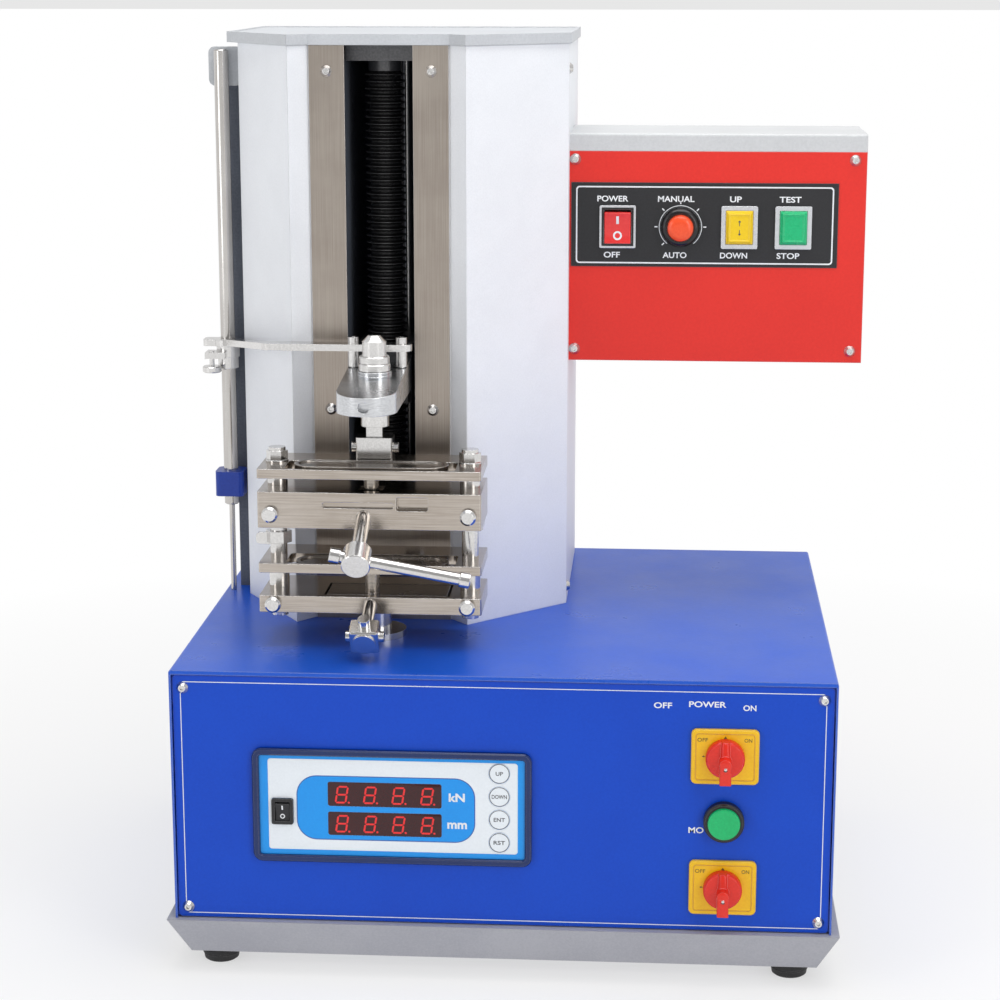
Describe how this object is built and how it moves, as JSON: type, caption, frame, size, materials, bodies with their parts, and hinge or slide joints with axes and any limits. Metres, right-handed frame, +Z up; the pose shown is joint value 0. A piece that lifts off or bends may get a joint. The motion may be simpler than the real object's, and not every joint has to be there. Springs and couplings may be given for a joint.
{
  "type": "seal strength tester",
  "caption": "Bench strength tester: blue base cabinet with a panel meter and switches, white slotted column, screw-driven crosshead over screw-clamped grips, and a red side console.",
  "frame": {"origin": "middle of the footprint's bounding box, on the ground under the feet", "axes": "+X to the viewer's right along the front panel, +Y to the back, +Z up along the column"},
  "size_m": [0.518, 0.4192, 0.678],
  "materials": {
    "tray_grey": "satin powder coat",
    "foot_rubber": "moulded",
    "cabinet_blue": "glossy orange-peel paint",
    "panel_blue": "glossy film",
    "column_white": "satin powder coat",
    "cap_grey": "satin paint",
    "trim_steel": "vertical brush",
    "frame_grey": "satin paint",
    "dark_steel": "blackened",
    "bellows_rubber": "gloss",
    "bright_steel": "ground and polished",
    "carriage_black": "black anodised",
    "arm_aluminium": "polished",
    "grip_steel": "ground and polished",
    "bezel_blue": "gloss",
    "face_white": "printed film",
    "black_plastic": "satin",
    "key_blue": "satin",
    "plate_yellow": "satin",
    "handle_red": "satin",
    "button_green": "gloss",
    "console_red": "satin powder coat",
    "lid_grey": "satin paint",
    "label_black": "printed film",
    "switch_silver": "satin",
    "rocker_red": "gloss",
    "knob_black": "satin",
    "button_yellow": "gloss"
  },
  "bodies": {
    "base": {"base_tray": "tray_grey", "rubber_feet": "foot_rubber", "cabinet_cover": "cabinet_blue", "front_panel": "panel_blue", "back_panel": "cabinet_blue", "button_head_screws": "bright_steel", "column_shell": "column_white", "column_cap": "cap_grey", "slot_trim": "trim_steel", "column_frame": "frame_grey", "screw_supports": "dark_steel", "upper_bellows": "bellows_rubber", "lower_bellows": "bellows_rubber", "guide_shafts": "bright_steel", "drive_motor": "dark_steel", "rod_bracket": "bright_steel", "guide_rod": "bright_steel", "stop_collar": "cabinet_blue", "lower_grip_plate": "grip_steel", "lower_grip_block": "grip_steel", "guide_posts": "bright_steel", "grip_stand": "grip_steel", "meter_bezel": "bezel_blue", "meter_face": "face_white", "cam_switch_plates": "plate_yellow", "start_bezel": "black_plastic", "electrical_housings": "black_plastic", "console_box": "console_red", "console_lid": "lid_grey", "console_label_plate": "label_black", "console_switch_frames": "switch_silver"},
    "crosshead": {"crosshead_arm": "arm_aluminium", "cap_nut": "arm_aluminium", "load_shank": "grip_steel", "crosshead_fasteners": "bright_steel", "guide_arm": "bright_steel", "carriage": "carriage_black", "upper_grip_plate": "grip_steel", "upper_grip_block": "grip_steel", "upper_grip_studs": "bright_steel"},
    "upper_jaw": {"upper_jaw": "grip_steel"},
    "upper_clamp": {"upper_clamp_screw": "bright_steel"},
    "tommy_bar": {"tommy_bar": "bright_steel"},
    "lower_jaw": {"lower_jaw": "grip_steel"},
    "lower_clamp": {"lower_clamp_screw": "bright_steel"},
    "ball_screw": {"ball_screw": "bright_steel"},
    "power_handle": {"power_switch_handle": "handle_red"},
    "motor_handle": {"motor_switch_handle": "handle_red"},
    "start_button": {"start_button": "button_green"},
    "key_up": {"key_up": "key_blue"},
    "key_down": {"key_down": "key_blue"},
    "key_enter": {"key_enter": "key_blue"},
    "key_reset": {"key_reset": "key_blue"},
    "meter_rocker": {"meter_rocker": "black_plastic"},
    "console_rocker": {"console_rocker": "rocker_red"},
    "selector_knob": {"selector_knob": "knob_black"},
    "jog_button": {"jog_button": "button_yellow"},
    "test_button": {"test_button": "button_green"},
    "thumb_screw": {"thumb_screw": "bright_steel"},
    "wing_nut": {"wing_nut": "bright_steel"}
  },
  "joints": [
    {"name": "crosshead_slide", "type": "slide", "parent": "base", "child": "crosshead", "axis": [0, 0, 1], "range_m": [0, 0.14], "deforming": ["upper_bellows", "lower_bellows"]},
    {"name": "screw_spin", "type": "hinge", "parent": "base", "child": "ball_screw", "pos_m": [-0.108, 0.00365, 0.232], "axis": [0, 0, 1], "range_deg": [-5060, 20]},
    {"name": "upper_jaw_slide", "type": "slide", "parent": "crosshead", "child": "upper_jaw", "axis": [0, -0.8988, -0.4384], "range_m": [0, 0.0015]},
    {"name": "upper_clamp_turn", "type": "hinge", "parent": "crosshead", "child": "upper_clamp", "pos_m": [-0.112, -0.12535, 0.3315], "axis": [0, -0.8988, -0.4384], "range_deg": [0, 181]},
    {"name": "tommy_bar_slide", "type": "slide", "parent": "upper_clamp", "child": "tommy_bar", "axis": [-0.9744, -0.0986, 0.2022], "range_m": [0, 0.064]},
    {"name": "lower_jaw_slide", "type": "slide", "parent": "base", "child": "lower_jaw", "axis": [0, -0.8988, -0.4384], "range_m": [0, 0.0015]},
    {"name": "lower_clamp_turn", "type": "hinge", "parent": "base", "child": "lower_clamp", "pos_m": [-0.108, -0.12535, 0.2657], "axis": [0, -0.8988, -0.4384], "range_deg": [0, 181]},
    {"name": "power_switch_turn", "type": "hinge", "parent": "base", "child": "power_handle", "pos_m": [0.1538, -0.18635, 0.1757], "axis": [0, 1, 0], "range_deg": [0, 90]},
    {"name": "motor_switch_turn", "type": "hinge", "parent": "base", "child": "motor_handle", "pos_m": [0.1538, -0.18635, 0.0765], "axis": [0, 1, 0], "range_deg": [0, 90]},
    {"name": "start_press", "type": "slide", "parent": "base", "child": "start_button", "axis": [0, 1, 0], "range_m": [0, 0.004], "stiffness_N_per_m": 500, "springref_m": -0.004},
    {"name": "key_up_press", "type": "slide", "parent": "base", "child": "key_up", "axis": [0, 1, 0], "range_m": [0, 0.0006], "stiffness_N_per_m": 800, "springref_m": -0.0012},
    {"name": "key_down_press", "type": "slide", "parent": "base", "child": "key_down", "axis": [0, 1, 0], "range_m": [0, 0.0006], "stiffness_N_per_m": 800, "springref_m": -0.0012},
    {"name": "key_enter_press", "type": "slide", "parent": "base", "child": "key_enter", "axis": [0, 1, 0], "range_m": [0, 0.0006], "stiffness_N_per_m": 800, "springref_m": -0.0012},
    {"name": "key_reset_press", "type": "slide", "parent": "base", "child": "key_reset", "axis": [0, 1, 0], "range_m": [0, 0.0006], "stiffness_N_per_m": 800, "springref_m": -0.0012},
    {"name": "meter_rocker_tilt", "type": "hinge", "parent": "base", "child": "meter_rocker", "pos_m": [-0.1659, -0.18785, 0.127], "axis": [1, 0, 0], "range_deg": [-16, 0]},
    {"name": "console_rocker_tilt", "type": "hinge", "parent": "base", "child": "console_rocker", "pos_m": [0.0685, 0.03365, 0.53], "axis": [1, 0, 0], "range_deg": [-16, 0]},
    {"name": "selector_turn", "type": "hinge", "parent": "base", "child": "selector_knob", "pos_m": [0.117, 0.03565, 0.53], "axis": [0, 1, 0], "range_deg": [0, 90]},
    {"name": "jog_press", "type": "slide", "parent": "base", "child": "jog_button", "axis": [0, 1, 0], "range_m": [0, 0.003], "stiffness_N_per_m": 500, "springref_m": -0.004},
    {"name": "test_press", "type": "slide", "parent": "base", "child": "test_button", "axis": [0, 1, 0], "range_m": [0, 0.003], "stiffness_N_per_m": 500, "springref_m": -0.004},
    {"name": "thumb_screw_turn", "type": "hinge", "parent": "crosshead", "child": "thumb_screw", "pos_m": [-0.251, 0.02965, 0.433], "axis": [0, 0, 1], "range_deg": [-180, 180]},
    {"name": "wing_nut_turn", "type": "hinge", "parent": "base", "child": "wing_nut", "pos_m": [-0.18, -0.09435, 0.306], "axis": [0, 0, 1], "range_deg": [-360, 360]}
  ],
  "couplings": [
    {"joint": "screw_spin", "follows": "crosshead_slide", "rad_per_m": -628.32},
    {"joint": "upper_clamp_turn", "follows": "upper_jaw_slide", "rad_per_m": 2094.4},
    {"joint": "lower_clamp_turn", "follows": "lower_jaw_slide", "rad_per_m": 2094.4}
  ]
}
